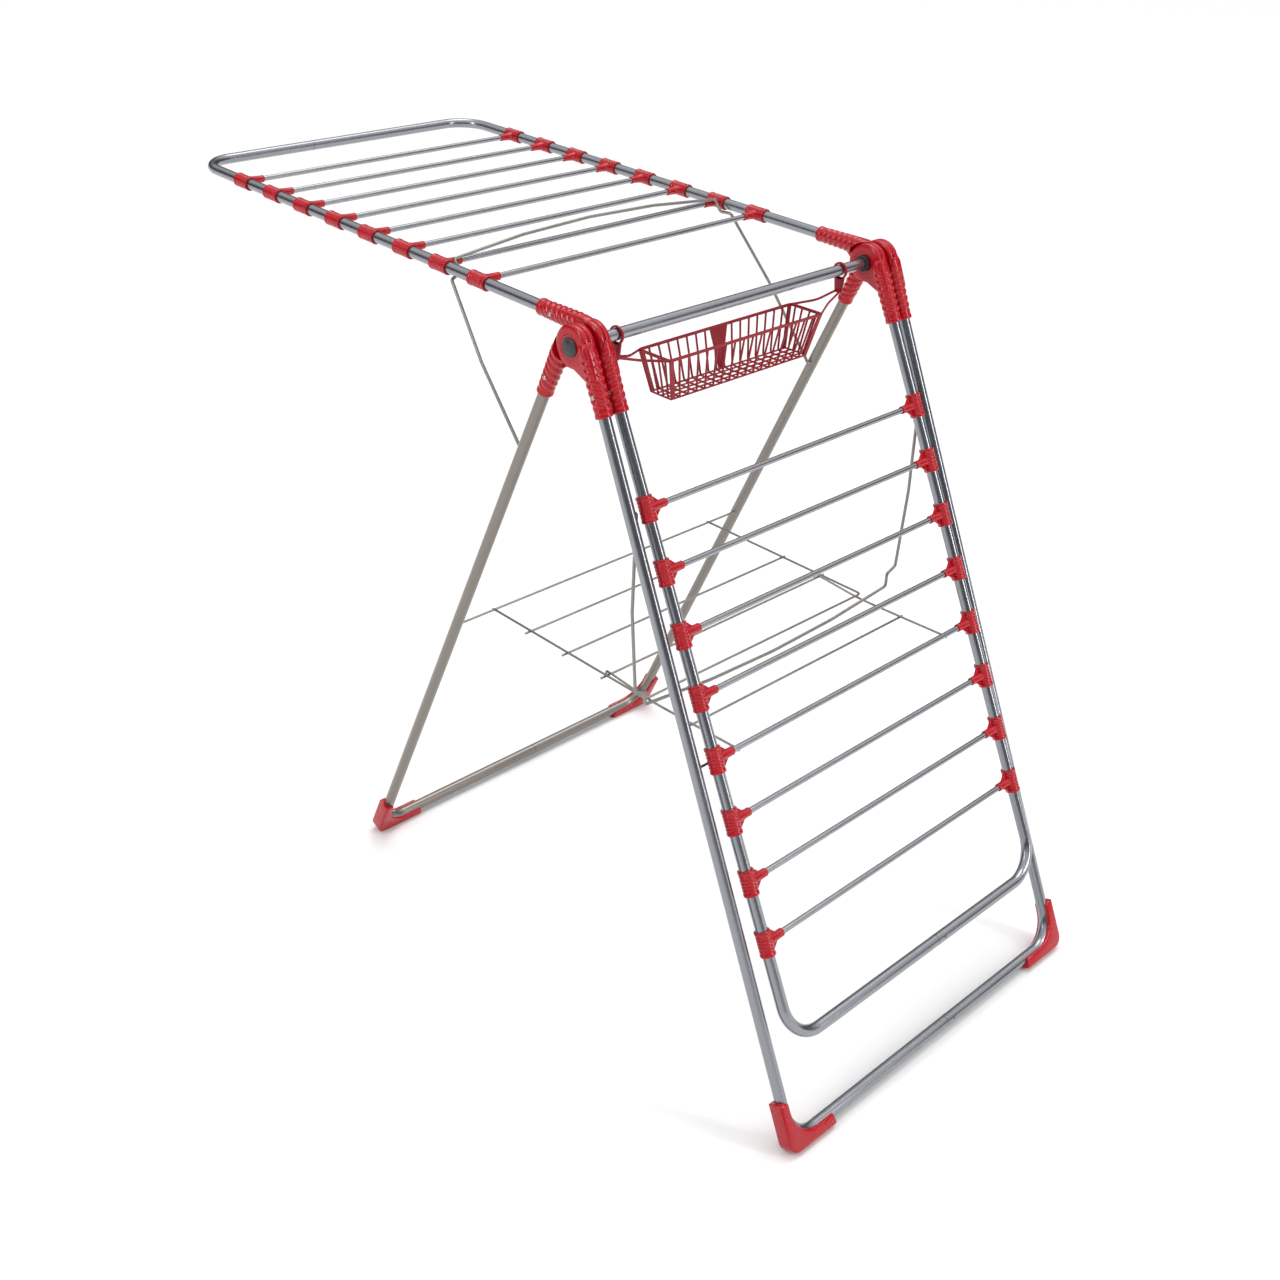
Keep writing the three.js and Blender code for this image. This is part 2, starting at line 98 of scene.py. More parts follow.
def fillet(c, radius, steps=8):
    out = [c[0].copy()]
    for i in range(1, len(c) - 1):
        r = radius[i - 1] if isinstance(radius, (list, tuple)) else radius
        a, b = (c[i - 1] - c[i]).normalized(), (c[i + 1] - c[i]).normalized()
        half = a.angle(b) / 2
        if r <= 0 or half > 1.55:
            out.append(c[i].copy())
            continue
        mid = c[i] + (a + b).normalized() * (r / math.sin(half))
        p0, p1 = c[i] + a * (r / math.tan(half)) - mid, c[i] + b * (r / math.tan(half)) - mid
        turn = p0.angle(p1)
        for k in range(steps + 1):
            g = k / steps
            out.append(mid + p0 * (math.sin((1 - g) * turn) / math.sin(turn)) + p1 * (math.sin(g * turn) / math.sin(turn)))
    out.append(c[-1].copy())
    return out


def tangents(p):
    t = []
    for i in range(len(p)):
        d = V(0, 0, 0)
        if i:
            d += (p[i] - p[i - 1]).normalized()
        if i < len(p) - 1:
            d += (p[i + 1] - p[i]).normalized()
        t.append(d.normalized())
    return t


def sweep(B, pts, section, mat=0, side=None, closed=False):
    """section: list of (u, v) offsets; u along side (or a carried normal), v along tangent x u."""
    t = tangents(pts)
    if closed:
        t[0] = t[-1] = ((pts[1] - pts[0]).normalized() + (pts[0] - pts[-2]).normalized()).normalized()
    u = side if side else (V(1, 0, 0) if abs(t[0].x) < 0.7 else V(0, 0, 1))
    verts, n = [], len(section)
    for i, p in enumerate(pts):
        u = (u - t[i] * u.dot(t[i])).normalized()
        w = t[i].cross(u)
        turn = 1.0
        if 0 < i < len(pts) - 1:
            turn = 1 / max(0.6, math.cos((pts[i] - pts[i - 1]).angle(pts[i + 1] - pts[i]) / 2))
        for a, b in section:
            verts.append(p + u * a + w * b)
    faces = []
    m = len(pts)
    for i in range(m - 1):
        for j in range(n):
            k = (j + 1) % n
            faces.append((i * n + j, i * n + k, (i + 1) * n + k, (i + 1) * n + j))
    if not closed:
        faces.append(tuple(range(n - 1, -1, -1)))
        faces.append(tuple((m - 1) * n + j for j in range(n)))
    B.add(verts, faces, mat)


def circle(r, n=20):
    return [(r * math.cos(2 * math.pi * i / n), r * math.sin(2 * math.pi * i / n)) for i in range(n)]


def flat(w, h, e=0.5):
    w, h = w / 2, h / 2
    return [(-w + e, -h), (w - e, -h), (w, -h + e), (w, h - e), (w - e, h), (-w + e, h), (-w, h - e), (-w, -h + e)]


def tube(B, pts, r, n=20, mat=0):
    sweep(B, pts, circle(r, n), mat)


def lathe(B, prof, origin, axis, n=32, mat=0, turn=None):
    axis = axis.normalized()
    u = (V(0, 0, 1) if abs(axis.x) > 0.7 else V(1, 0, 0))
    u = (u - axis * u.dot(axis)).normalized()
    w = axis.cross(u)
    verts = []
    for r, h in prof:
        for j in range(n):
            a = 2 * math.pi * j / n
            verts.append(origin + axis * h + (u * math.cos(a) + w * math.sin(a)) * r)
    faces = []
    for i in range(len(prof) - 1):
        for j in range(n):
            k = (j + 1) % n
            faces.append((i * n + j, i * n + k, (i + 1) * n + k, (i + 1) * n + j))
    faces.append(tuple(range(n)))
    faces.append(tuple((len(prof) - 1) * n + j for j in reversed(range(n))))
    B.add(verts, faces, mat, turn)


def hoop(B, prof, origin, axis, n=36, mat=0):
    """a ring: the profile closes on itself"""
    axis = axis.normalized()
    u = (V(0, 0, 1) if abs(axis.x) > 0.7 else V(1, 0, 0))
    u = (u - axis * u.dot(axis)).normalized()
    w = axis.cross(u)
    verts = [origin + axis * h + (u * math.cos(2 * math.pi * j / n) + w * math.sin(2 * math.pi * j / n)) * r for r, h in prof for j in range(n)]
    m = len(prof)
    faces = [(i * n + j, i * n + (j + 1) % n, ((i + 1) % m) * n + (j + 1) % n, ((i + 1) % m) * n + j) for i in range(m) for j in range(n)]
    B.add(verts, faces, mat)


def slab(B, outline, to3, depth, bevel, mat=0, floor=None, turn=None, both=True):
    """an outline pushed through a depth, its edges rounded; to3(u, v, w) places a point"""
    bm = bmesh.new()
    lo = [bm.verts.new(to3(u, v, depth[0])) for u, v in outline]
    hi = [bm.verts.new(to3(u, v, depth[1])) for u, v in outline]
    n = len(outline)
    bm.faces.new(lo)
    top = bm.faces.new(list(reversed(hi)))
    for i in range(n):
        bm.faces.new((lo[i], hi[i], hi[(i + 1) % n], lo[(i + 1) % n]))
    bmesh.ops.recalc_face_normals(bm, faces=bm.faces)
    if bevel:
        edges = [e for e in bm.edges if (all(x in hi for x in e.verts) or (both and all(x in lo for x in e.verts)))]
        bmesh.ops.bevel(bm, geom=edges, offset=bevel, segments=3, affect='EDGES', profile=0.5, clamp_overlap=True)
    if floor is not None:
        geom = bm.verts[:] + bm.edges[:] + bm.faces[:]
        bmesh.ops.bisect_plane(bm, geom=geom, plane_co=(0, 0, floor), plane_no=(0, 0, -1), clear_outer=True)
        bmesh.ops.holes_fill(bm, edges=bm.edges[:], sides=0)
    bm.verts.index_update()
    B.add([v.co.copy() for v in bm.verts], [tuple(v.index for v in f.verts) for f in bm.faces], mat, turn)
    bm.free()


# ---- materials -----------------------------------------------------------------------------------
def material(name, color, rough, metallic=0.0, coat=0.0, coat_rough=0.1, vary=0.06, grain=600.0, bump=0.02, streak=None, spec=0.5, dust=0.0):
    m = bpy.data.materials.new(name)
    m.use_nodes = True
    nt = m.node_tree
    b = next(n for n in nt.nodes if n.type == 'BSDF_PRINCIPLED')
    tc = nt.nodes.new('ShaderNodeTexCoord')
    mp = nt.nodes.new('ShaderNodeMapping')
    mp.inputs['Scale'].default_value = streak or (1, 1, 1)
    nt.links.new(tc.outputs['Object'], mp.inputs['Vector'])
    cloud = nt.nodes.new('ShaderNodeTexNoise')
    cloud.inputs['Scale'].default_value = 9
    cloud.inputs['Detail'].default_value = 5
    nt.links.new(tc.outputs['Object'], cloud.inputs['Vector'])
    fine = nt.nodes.new('ShaderNodeTexNoise')
    fine.inputs['Scale'].default_value = grain
    fine.inputs['Detail'].default_value = 3
    nt.links.new(mp.outputs['Vector'], fine.inputs['Vector'])
    ramp = nt.nodes.new('ShaderNodeValToRGB')
    ramp.color_ramp.elements[0].position, ramp.color_ramp.elements[1].position = 0.3, 0.7
    ramp.color_ramp.elements[0].color = tuple(c * (1 - vary) for c in color) + (1,)
    ramp.color_ramp.elements[1].color = tuple(min(1, c * (1 + vary)) for c in color) + (1,)
    mix = nt.nodes.new('ShaderNodeMath')
    mix.operation = 'MULTIPLY_ADD'
    nt.links.new(fine.outputs['Fac'], mix.inputs[0])
    mix.inputs[1].default_value = 0.5
    half = nt.nodes.new('ShaderNodeMath')
    half.operation = 'MULTIPLY'
    half.inputs[1].default_value = 0.5
    nt.links.new(cloud.outputs['Fac'], half.inputs[0])
    nt.links.new(half.outputs[0], mix.inputs[2])
    nt.links.new(mix.outputs[0], ramp.inputs['Fac'])
    nt.links.new(ramp.outputs['Color'], b.inputs['Base Color'])
    rr = nt.nodes.new('ShaderNodeMapRange')
    rr.inputs['From Min'].default_value, rr.inputs['From Max'].default_value = 0.3, 0.7
    rr.inputs['To Min'].default_value, rr.inputs['To Max'].default_value = rough * 0.85, rough * 1.2
    nt.links.new(mix.outputs[0], rr.inputs['Value'])
    nt.links.new(rr.outputs['Result'], b.inputs['Roughness'])
    bp = nt.nodes.new('ShaderNodeBump')
    bp.inputs['Strength'].default_value = bump * 4
    bp.inputs['Distance'].default_value = 0.0004
    nt.links.new(fine.outputs['Fac'], bp.inputs['Height'])
    nt.links.new(bp.outputs['Normal'], b.inputs['Normal'])
    b.inputs['Metallic'].default_value = metallic
    b.inputs['Coat Weight'].default_value = coat
    b.inputs['Coat Roughness'].default_value = coat_rough
    b.inputs['Specular IOR Level'].default_value = spec
    return m


M_TUBE = material('tube_paint', (0.27, 0.28, 0.305), 0.25, 0.95, 0.4, 0.10, vary=0.04, grain=2600, bump=0.006)
M_REAR = material('rear_tube_paint', (0.235, 0.21, 0.19), 0.33, 0.88, 0.25, 0.18, vary=0.03, grain=2600, bump=0.006)
M_BAR = material('bar_paint', (0.31, 0.315, 0.335), 0.24, 0.95, 0.3, 0.10, vary=0.03, grain=2600, bump=0.005)
M_CROSS = material('crossbar_paint', (0.30, 0.31, 0.34), 0.23, 0.95, 0.35, 0.10, vary=0.03, grain=2600, bump=0.005)
M_RED = material('red_plastic', (0.42, 0.0015, 0.010), 0.26, 0, 0.25, 0.08, vary=0.04, grain=260, bump=0.006, spec=0.3)
M_BASKET = material('basket_plastic', (0.27, 0.0025, 0.012), 0.38, 0, 0.08, 0.2, vary=0.05, grain=400, bump=0.008, spec=0.3)
M_CAP = material('cap_plastic', (0.018, 0.022, 0.024), 0.42, 0, 0.1, 0.3, vary=0.15, grain=900, bump=0.05)
M_BUSH = material('bushing_plastic', (0.012, 0.012, 0.013), 0.45, 0, 0, 0.3, vary=0.15, grain=900, bump=0.05)
M_RIVET = material('rivet_metal', (0.42, 0.41, 0.40), 0.3, 1.0, 0, 0.2, vary=0.1, grain=1800, bump=0.04)
M_WIRE = material('wire', (0.27, 0.255, 0.24), 0.36, 1.0, 0.1, 0.2, vary=0.12, grain=1200, bump=0.03)
M_SEAM = material('seam', (0.05, 0.05, 0.055), 0.6, 0.3, 0, 0.2, vary=0.1, grain=900, bump=0.02)


# ---- bent-tube frames ----------------------------------------------------------------------------
def frame_tube(name, f, off, x, length, bend, body, mat, seam=None):
    B = Build()
    path = fillet([at(f, off, -x, 33), at(f, off, -x, length), at(f, off, x, length), at(f, off, x, 33)], bend, 14)
    tube(B, path, TR, 28)
    for sx in seam or []:      # butt joint of the two bent halves, with its locking dimple
        c = at(f, off, sx, length)
        hoop(B, [(TR - 0.5, -0.45), (TR + 0.04, -0.35), (TR + 0.04, 0.35), (TR - 0.5, 0.45)], c, V(1, 0, 0), 28, 1)
        lathe(B, [(1.5, TR - 0.6), (1.5, TR + 0.05)], c + V(13, 0, 0), f[1], 12, 1)
    return B.make(name, [mat, M_SEAM], body, [name.replace('_look', '')])


frame_tube('front_leg_frame_look', FRONT, LOFF, XL, LEG_LEN, 42, 'front_legs', M_TUBE, [30])
frame_tube('rear_leg_frame_look', REAR, LOFF, XL, LEG_LEN, 42, 'rear_legs', M_REAR, [30])
frame_tube('raised_wing_frame_look', UP, WOFF, XW, UP_LEN, 50, 'raised_wing', M_TUBE, [-60])
frame_tube('lower_wing_frame_look', LOW, WOFF, XW, LOW_LEN, 50, 'lower_wing', M_TUBE, [30])

B = Build()
tube(B, [V(-296, 0, 0), V(296, 0, 0)], TR, 32)
B.make('crossbar_look', [M_CROSS], 'front_legs', ['crossbar'])

for side, k in (('left', -1), ('right', 1)):
    B = Build()
    lathe(B, [(12.4, 0.1), (12.5, 0.7), (12.0, 1.6), (10.6, 2.2), (9.6, 2.0), (9.2, 2.0), (8.4, 2.6), (4.0, 2.95), (0.5, 3.0)], V(k * 300.4, 0, 0), V(k, 0, 0), 40)
    B.make('end_cap_%s_look' % side, [M_CAP], 'front_legs', ['end_cap_' + side])
    B = Build()
    hoop(B, [(8.15, 0), (11.5, 0), (11.95, -0.6), (11.95, -4.2), (11.4, -4.9), (9.6, -4.9), (8.15, -4.9)], V(k * 255.6, 0, 0), V(k, 0, 0), 36)
    B.make('bushing_%s_look' % side, [M_BUSH], 'front_legs', ['bushing_' + side])


# ---- hinge knuckles ------------------------------------------------------------------------------
def knuckle(name, angle, k, off, x, outer, body):
    B = Build()
    s = 1 if x > 0 else -1
    hw = 9.5
    own = s if outer else -s                      # the side of x the half disc fills
    turn = Matrix.Rotation(rad(k * angle), 3, 'X')
    face = []                                     # rounded disc, from the mating plane outwards
    for r, h in ((26.8, 0.25), (27.6, 0.8), (27.9, 2.0), (27.9, 5.6), (27.3, 7.2), (26.0, 8.5), (24.2, 9.2), (22.0, hw), (17.2, hw), (16.8, hw - 0.5), (16.2, hw - 0.5), (15.8, hw), (12, hw)):
        face.append((r, h))
    lathe(B, face, V(x, 0, 0), V(own, 0, 0), 56, 0, turn)
    o = off
    outline = [(0, 4), (-10, -19), (-7, -26), (o - 6, -48), (o - 3, -53), (o + 8, -51), (o + 10.8, -44), (o + 11.6, -8), (o + 7, 4), (13, 9)]
    if k < 0:
        outline = [(-u, v) for u, v in outline]
    slab(B, outline, lambda u, v, w: V(x + own * w, u, v), (0.3, hw - 0.4), 3.2, 0, None, turn, both=False)
    # sleeve with slanting rope-like ribs, a domed shoulder and a flared lip
    prof = [(2.6, 4.5), (1.8, 6.8), (0.4, 8.8), (-2, 10.3), (-6, 11.3), (-14, 11.9), (-26, 12.1), (-82, 10.7), (-84.4, 10.6), (-85.6, 11.1), (-88, 11.4), (-90.3, 11.2), (-91, 10.6)]

    def base(z):
        for (z0, r0), (z1, r1) in zip(prof, prof[1:]):
            if z <= z0 and z >= z1:
                return r0 + (r1 - r0) * (z0 - z) / (z0 - z1)
        return prof[-1][1]
    zs = [2.6, 2.2, 1.8, 1.1, 0.4, -0.8, -2, -4] + [-6 - 1.0 * i for i in range(79)] + [-85.2, -85.8, -86.6, -88, -89.4, -90.3, -91]
    n, verts = 56, []
    for z in zs:
        fade = max(0, min(1, (-z - 14) / 6)) * max(0, min(1, (z + 82) / 4))
        for j in range(n):
            a = 2 * math.pi * j / n
            ph = z / 9.6 + 3 * a / (2 * math.pi) * own * k
            wave = math.cos(2 * math.pi * ph)
            rib = 0.62 * max(0, wave) ** 0.7 - 0.75 * max(0, -wave) ** 3
            r = base(z) + fade * rib
            px, py = r * math.cos(a), k * off + r * math.sin(a)
            if (math.hypot(py, z) < 28.6 or z > -3) and px * own < 0.3:
                px = own * 0.3
            verts.append(V(x + px, py, z))
    for r, z in ((8.05, -91), (8.05, -70)):
        for j in range(n):
            a = 2 * math.pi * j / n
            verts.append(V(x + r * math.cos(a), k * off + r * math.sin(a), z))
    m = len(zs) + 2
    faces = [(i * n + j, i * n + (j + 1) % n, (i + 1) * n + (j + 1) % n, (i + 1) * n + j) for i in range(m - 1) for j in range(n)]
    faces += [tuple(range(n)), tuple((m - 1) * n + j for j in reversed(range(n)))]
    B.add(verts, faces, 0, turn)
    # rivet dimple
    c = V(x + s * 10.6, k * off, -64)
    hoop_b = Build()
    hoop(hoop_b, [(3.5, -0.6), (3.9, 0.3), (4.6, 0.3), (5.0, -0.6)], c, V(s, 0, 0), 24)
    B.add(hoop_b.v, hoop_b.f, 0, turn)
    return B.make(name + '_look', [M_RED], body, [name], 50)


def rivet(name, f, off, x, body, nodes):
    B = Build()
    k = 1 if x > 0 else -1
    lathe(B, [(1.9, -4), (1.9, 2.4), (3.2, 2.5), (3.3, 2.9), (2.9, 3.6), (1.9, 4.1), (1.2, 4.15), (1.0, 3.7), (0.4, 3.6)], at(f, off, x + k * 8.2, 64), V(k, 0, 0), 20)
    return B.make(name, [M_RIVET], body, nodes)


for side, k in (('left', -1), ('right', 1)):
    knuckle('front_leg_knuckle_' + side, LEG_A, -1, LOFF, k * XL, True, 'front_legs')
    knuckle('rear_leg_knuckle_' + side, LEG_A, 1, LOFF, k * XL, False, 'rear_legs')
    knuckle('raised_wing_knuckle_' + side, UP_A, 1, WOFF, k * XW, True, 'raised_wing')
    knuckle('lower_wing_knuckle_' + side, LOW_A, -1, WOFF, k * XW, False, 'lower_wing')
    rivet('front_leg_rivet_%s_look' % side, FRONT, LOFF, k * XL, 'front_legs', ['front_leg_rivet_' + side])
    rivet('rear_leg_rivet_%s_look' % side, REAR, LOFF, k * XL, 'rear_legs', ['rear_leg_rivet_' + side])
    rivet('raised_wing_rivet_%s_look' % side, UP, WOFF, k * XW, 'raised_wing', [])
    rivet('lower_wing_rivet_%s_look' % side, LOW, WOFF, k * XW, 'lower_wing', [])


# ---- feet ----------------------------------------------------------------------------------------
def foot(name, f, k, body):
    R, up, along, w, c, b = 12.3, 57, 71, 11.1, 16, 42
    base = at(f, LOFF, k * XL, LEG_LEN)
    pts = [(-R, up)]
    pts += [(-R + c + c * math.cos(math.pi + i * math.pi / 16), -R + c + c * math.sin(math.pi + i * math.pi / 16)) for i in range(9)]
    pts += [(along, -R), (along + 3, -R + 1), (along + 3.5, -R + 4), (along, 3), (b + 2, 3)]
    pts += [(b + (b - 3) * math.cos(-math.pi / 2 - i * math.pi / 16), b + (b - 3) * math.sin(-math.pi / 2 - i * math.pi / 16)) for i in range(1, 8)]
    pts += [(3, b + 2), (3, up - 4), (-2, up)]
    wz = V(-k, 0, 0).cross(-f[0])
    B = Build()
    slab(B, pts, lambda u, v, d: base + V(-k * u, 0, 0) - f[0] * v + wz * d, (-w, w), 2.6, 0, -HZ + 0.05)
    return B.make(name + '_look', [M_RED], body, [name], 45)


for side, k in (('left', -1), ('right', 1)):
    foot('front_foot_' + side, FRONT, k, 'front_legs')
    foot('rear_foot_' + side, REAR, k, 'rear_legs')


# ---- drying bars with clips ----------------------------------------------------------------------
def clipped_bar(name, f, s, body):
    B = Build()
    tube(B, [at(f, WOFF, -XW + 12, s), at(f, WOFF, XW - 12, s)], BAR, 20, 0)
    for k in (-1, 1):
        h = 16.5
        prof = [(8.1, -h), (10.2, -h), (10.6, -h + 0.6), (10.6, -h + 3.2), (10.1, -h + 4.0)]
        for i in range(5):
            z = -h + 6.6 + i * 4.4
            prof += [(9.75, z - 0.7), (10.25, z), (10.25, z + 1.6), (9.75, z + 2.3)]
        prof += [(10.1, h - 4.0), (10.6, h - 3.2), (10.6, h - 0.6), (10.2, h), (8.1, h)]
        hoop(B, prof, at(f, WOFF, k * XW, s), f[0], 32, 1)
        lathe(B, [(7.0, 0), (6.9, 3.0), (6.3, 5.5), (5.9, 12), (5.5, 20), (5.6, 21), (5.6, 23.4), (5.1, 24)], at(f, WOFF, k * (XW - 7.5), s), V(-k, 0, 0), 24, 1)
        # webs between collar and boss
        for q in (-1, 1):
            slab(B, [(0, 0), (13, 0), (0, q * 12)], lambda u, v, d, q=q: at(f, WOFF, k * (XW - 8.6 - u), s) + f[0] * (v + q * 4.6) + f[1] * d, (-1.6, 1.6), 0.5, 1)
    return B.make(name + '_look', [M_BAR, M_RED], body, [name], 40)


for i in range(BARS):
    clipped_bar('raised_wing_bar_%d' % (i + 1), UP, FIRST + i * PITCH, 'raised_wing')
    clipped_bar('lower_wing_bar_%d' % (i + 1), LOW, FIRST + i * PITCH, 'lower_wing')


# ---- stays ---------------------------------------------------------------------------------------
def stay(name, pivot, d, body):
    def P(x, u):
        return V(x, pivot.y + d.y * u, pivot.z + d.z * u)
    half = [P(-286, 0), P(-279.4, 0), P(-279.4, 138), P(-268, 256.5), P(-249.5, 263.5), P(-249.5, 284), P(-125, 296)]
    other = [V(-p.x, p.y, p.z) for p in reversed(half)]
    path = fillet(half + [P(0, 300)] + other, [4, 60, 5, 5, 5, 150, 300, 150, 5, 5, 5, 60, 4], 7)
    B = Build()
    tube(B, path, STAY, 14)
    return B.make(name + '_look', [M_WIRE], body, [name])


rp, fp = at(REAR, LOFF, 0, 212), at(FRONT, LOFF, 0, 212)
reach = at(UP, WOFF, 0, FIRST + PITCH) - rp
tilt = math.atan2(reach.z, reach.y) + math.asin((6.4 + 2.3 + 0.5) / reach.length)
stay('rear_stay', rp, V(0, math.cos(tilt), math.sin(tilt)), 'rear_stay')
stay('front_stay', fp, V(0, 0, -1), 'front_stay')

# ---- shelf ---------------------------------------------------------------------------------------
ref = at(REAR, LOFF - 1.2, 0, 537)
z, y1, SP, PX = ref.z, ref.y, 78, 285.9
y5, y4, y7 = y1 - 4 * SP, y1 - 3 * SP, -y1
B = Build()
X = 223
tube(B, fillet([V(-X, y1 + 3.2, z - 1), V(-X, y1, z), V(-X, y5, z), V(X, y5, z), V(X, y1, z), V(X, y1 + 3.2, z - 1)], [0, 6, 6, 0], 8), WIRE, 12)
tube(B, [V(-PX, y1, z - 0.4), V(PX, y1, z - 0.4)], WIRE, 12)
for i in range(1, 4):
    tube(B, [V(-X - 8, y1 - i * SP, z - 2.6), V(X + 8, y1 - i * SP, z - 2.6)], WIRE, 12)
B.make('shelf_rear_half_look', [M_WIRE], 'shelf_rear', ['shelf_rear_half'])
B = Build()
X = 216.5
tube(B, [V(-PX, y7, z - 0.4), V(PX, y7, z - 0.4)], WIRE, 12)
for k in (-1, 1):
    tube(B, fillet([V(k * X, y7 - 6, z - 1.2), V(k * X, y7, z), V(k * X, y5 - 24, z - 4.2), V(k * X, y5 + 4, z - 4.2), V(k * X, y4 - 6, z + 1.4), V(k * X, y4 + 4.6, z + 1.4), V(k * X, y4 + 5.6, z - 4.5)], [0, 30, 30, 30, 2.2], 5), WIRE, 12)
tube(B, [V(-X - 8, y7 + SP, z - 5.4), V(X + 8, y7 + SP, z - 5.4)], WIRE, 12)
B.make('shelf_front_half_look', [M_WIRE], 'shelf_front', ['shelf_front_half'])

# ---- basket --------------------------------------------------------------------------------------
B = Build()
XC, RX, RY, BX, BY, ZR, ZB = -9.5, 146.5, 27.5, 131, 18.5, -43, -101
rim = [V(XC - RX, -RY, ZR), V(XC + RX, -RY, ZR), V(XC + RX, RY, ZR), V(XC - RX, RY, ZR)]
ringp = fillet([(rim[3] + rim[0]) / 2] + rim + [(rim[3] + rim[0]) / 2], 4, 4)
sweep(B, ringp, flat(2.4, 4.2, 0.5), 0, V(1, 0, 0), closed=True)
bot = [V(XC - BX, -BY, ZB), V(XC + BX, -BY, ZB), V(XC + BX, BY, ZB), V(XC - BX, BY, ZB)]
sweep(B, fillet([(bot[3] + bot[0]) / 2] + bot + [(bot[3] + bot[0]) / 2], 3, 3), flat(2.2, 2.2, 0.4), 0, V(1, 0, 0), closed=True)
for yy in (-9, 0, 9):
    sweep(B, [V(XC - BX, yy, ZB), V(XC + BX, yy, ZB)], flat(2.2, 1.8, 0.3), 0, V(0, 1, 0))
N = 17
for i in range(N + 1):
    t = i / N
    xt, xb = XC - RX + 2 * RX * t, XC - BX + 2 * BX * t
    w = 7.5 if i in (0, N) else 2.7
    if i in (0, N):
        q = 3.0 if i == 0 else -3.0
        for k in (-1, 1):
            sweep(B, [V(xt + q, k * RY, ZR), V(xb + q, k * BY, ZB)], flat(w, 2.0, 0.5), 0, V(1, 0, 0))
    else:
        sweep(B, fillet([V(xt, RY, ZR), V(xb, BY + 0.3, ZB - 0.1), V(xb, -BY - 0.3, ZB - 0.1), V(xt, -RY, ZR)], 5, 5), flat(w, 2.1, 0.4), 0, V(1, 0, 0))
for k in (-1, 1):
    for yy in (-14, -5, 5, 14):
        sweep(B, [V(XC + k * RX, yy * RY / 20, ZR), V(XC + k * BX, yy * BY / 20, ZB)], flat(2.6, 2.1, 0.4), 0, V(0, 1, 0))
# plain tapered panel at the middle of the rear side
slab(B, [(-17, 0), (17, 0), (3.5, 1), (-3.5, 1)], lambda u, v, d: V(XC + u, RY + (BY - RY) * v + d, ZR + (ZB - ZR) * v), (-0.9, 0.9), 0.4)
for k in (-1, 1):
    xx = XC + k * 213.5
    hoop(B, [(9.3, -1.5), (11.9, -1.5), (12.15, -1.1), (12.15, 1.1), (11.9, 1.5), (9.3, 1.5)], V(xx, 0, -0.9), V(1, 0, 0), 40)
    slab(B, [(-8.6, -9.6), (8.6, -9.6), (6.2, -31), (4.5, -33), (-4.5, -33), (-6.2, -31)], lambda u, v, d: V(xx + d, u, v), (-1.5, 1.5), 0.6)
    for j in (-1, 1):
        pts = fillet([V(xx - k * 0.5, j * 3.5, -30), V(XC + k * (RX + 34), j * 10, -39), V(XC + k * RX, j * (RY - 0.5), ZR)], 60, 6)
        sweep(B, pts, flat(2.2, 3.4, 0.6), 0, V(0, 1, 0))
B.make('peg_basket_look', [M_BASKET], 'basket', ['peg_basket'], 35)

# ---- floor, light and camera ---------------------------------------------------------------------
me = bpy.data.meshes.new('floor')
me.from_pydata([(-40, -40, 0), (40, -40, 0), (40, 40, 0), (-40, 40, 0)], [], [(0, 1, 2, 3)])
fm = bpy.data.materials.new('floor')
fm.use_nodes = True
fb = next(n for n in fm.node_tree.nodes if n.type == 'BSDF_PRINCIPLED')
fb.inputs['Base Color'].default_value = (0.86, 0.86, 0.86, 1)
fb.inputs['Roughness'].default_value = 0.9
fb.inputs['Specular IOR Level'].default_value = 0.1
me.materials.append(fm)
floor = bpy.data.objects.new('floor', me)
bpy.context.scene.collection.objects.link(floor)

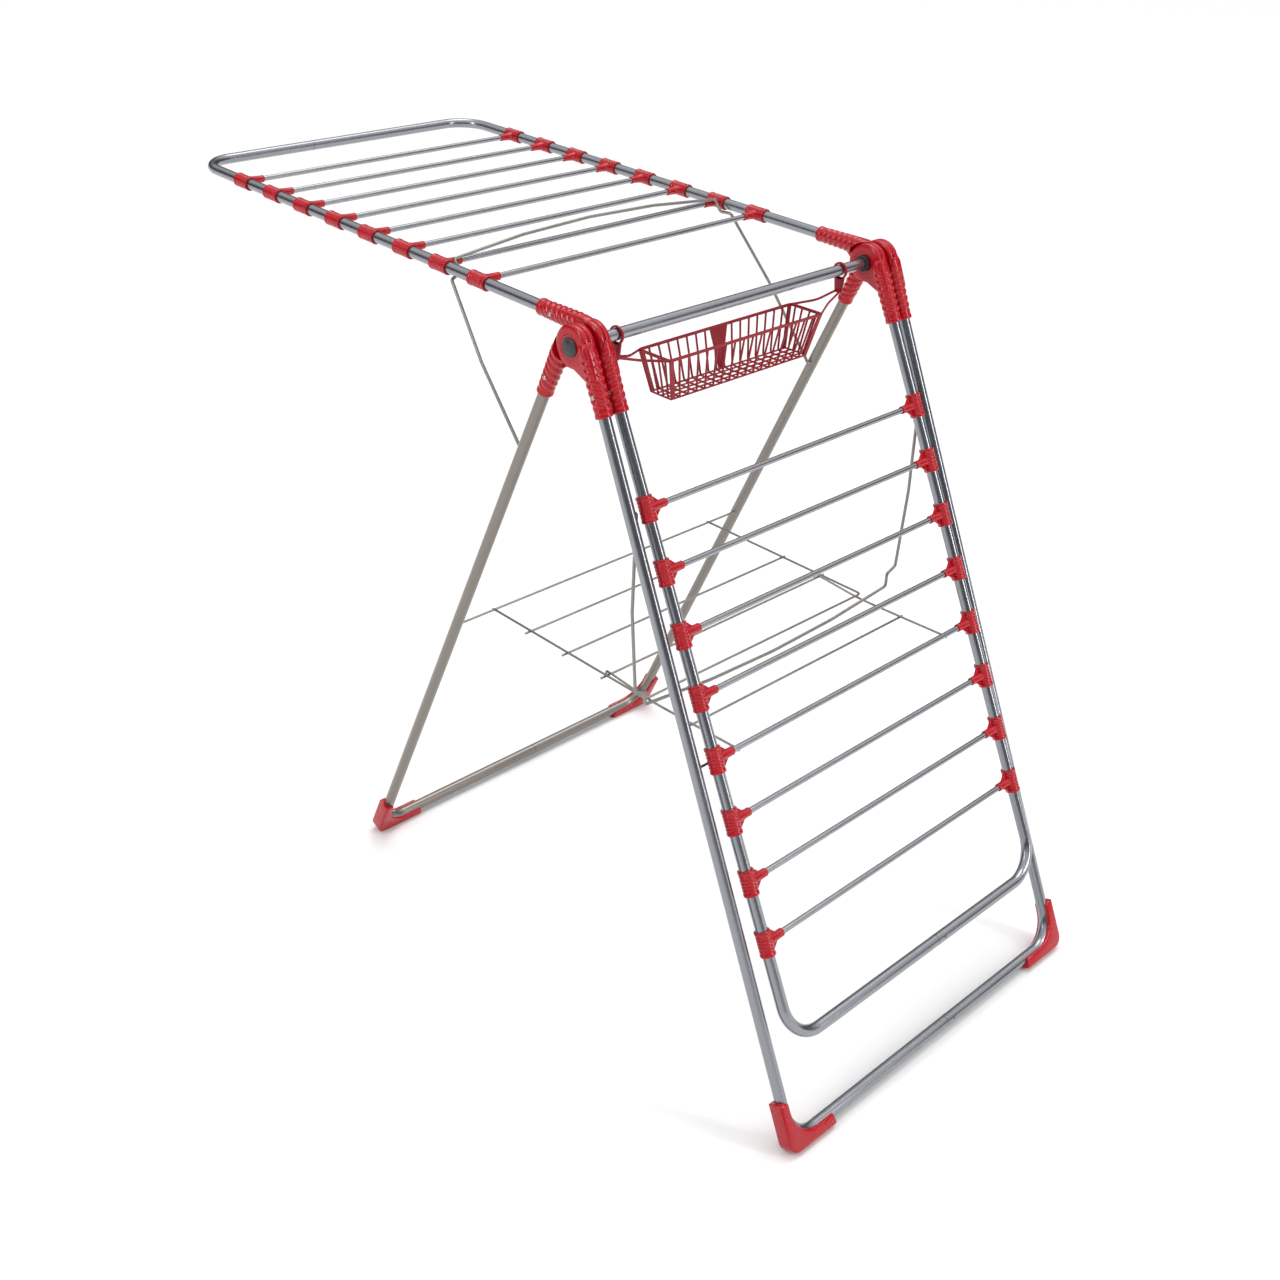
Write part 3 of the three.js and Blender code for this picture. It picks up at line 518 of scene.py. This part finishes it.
world = bpy.data.worlds.new('studio')
bpy.context.scene.world = world
world.use_nodes = True
wt = world.node_tree
bg = next(n for n in wt.nodes if n.type == 'BACKGROUND')
tc = wt.nodes.new('ShaderNodeTexCoord')
sep = wt.nodes.new('ShaderNodeSeparateXYZ')
wr = wt.nodes.new('ShaderNodeValToRGB')
wt.links.new(tc.outputs['Generated'], sep.inputs[0])
wt.links.new(sep.outputs['Z'], wr.inputs['Fac'])
wr.color_ramp.elements[0].position = 0.0
wr.color_ramp.elements[0].color = (0.03, 0.03, 0.035, 1)
wr.color_ramp.elements[1].position = 0.9
wr.color_ramp.elements[1].color = (1, 1, 1, 1)
e = wr.color_ramp.elements.new(0.35)
e.color = (0.10, 0.10, 0.105, 1)
e = wr.color_ramp.elements.new(0.6)
e.color = (0.9, 0.9, 0.9, 1)
wt.links.new(wr.outputs['Color'], bg.inputs['Color'])
bg.inputs['Strength'].default_value = 1.1


def lamp(name, kind, energy, rot, loc=(0, 0, 3), size=1.0, size_y=None, angle=None):
    l = bpy.data.lights.new(name, kind)
    l.energy = energy
    if kind == 'SUN':
        l.angle = angle
    else:
        l.shape = 'RECTANGLE'
        l.size, l.size_y = size, size_y or size
    o = bpy.data.objects.new(name, l)
    o.location = loc
    o.rotation_euler = rot
    bpy.context.scene.collection.objects.link(o)
    return o


def aim(o, target):
    o.rotation_euler = (Vector(target) - o.location).to_track_quat('-Z', 'Y').to_euler()


aim(lamp('sky', 'SUN', 1.15, (0, 0, 0), (1.0, 0.6, 3.0), angle=rad(38)), (0, 0, 0))
k1 = lamp('key', 'AREA', 34, (0, 0, 0), (-3.2, 0.4, 2.4), 0.35, 2.6)
aim(k1, (0, 0, 0.6))
k2 = lamp('rim', 'AREA', 44, (0, 0, 0), (1.4, -3.4, 1.8), 0.35, 2.6)
aim(k2, (0, 0, 0.6))

cam = bpy.data.cameras.new('camera')
az, el, ro = rad(-43.64), rad(24.41), rad(1.79)
fwd = V(-math.sin(az) * math.cos(el), math.cos(az) * math.cos(el), -math.sin(el))
right = V(math.cos(az), math.sin(az), 0)
up = right.cross(fwd)
r2 = right * math.cos(ro) + up * math.sin(ro)
u2 = up * math.cos(ro) - right * math.sin(ro)
co = bpy.data.objects.new('camera', cam)
bpy.context.scene.collection.objects.link(co)
m = Matrix((r2, u2, -fwd)).transposed().to_4x4()
m.translation = V(-1523.9, -1344.1 + YS, 662.2 + HZ) / 1000
co.matrix_world = m
cam.sensor_width = 36
cam.lens = 1619.14 / 1280 * 36
cam.shift_x, cam.shift_y = 0.0305, -0.1305
cam.clip_end = 100
bpy.context.scene.camera = co
bpy.context.scene.view_settings.view_transform = 'Standard'
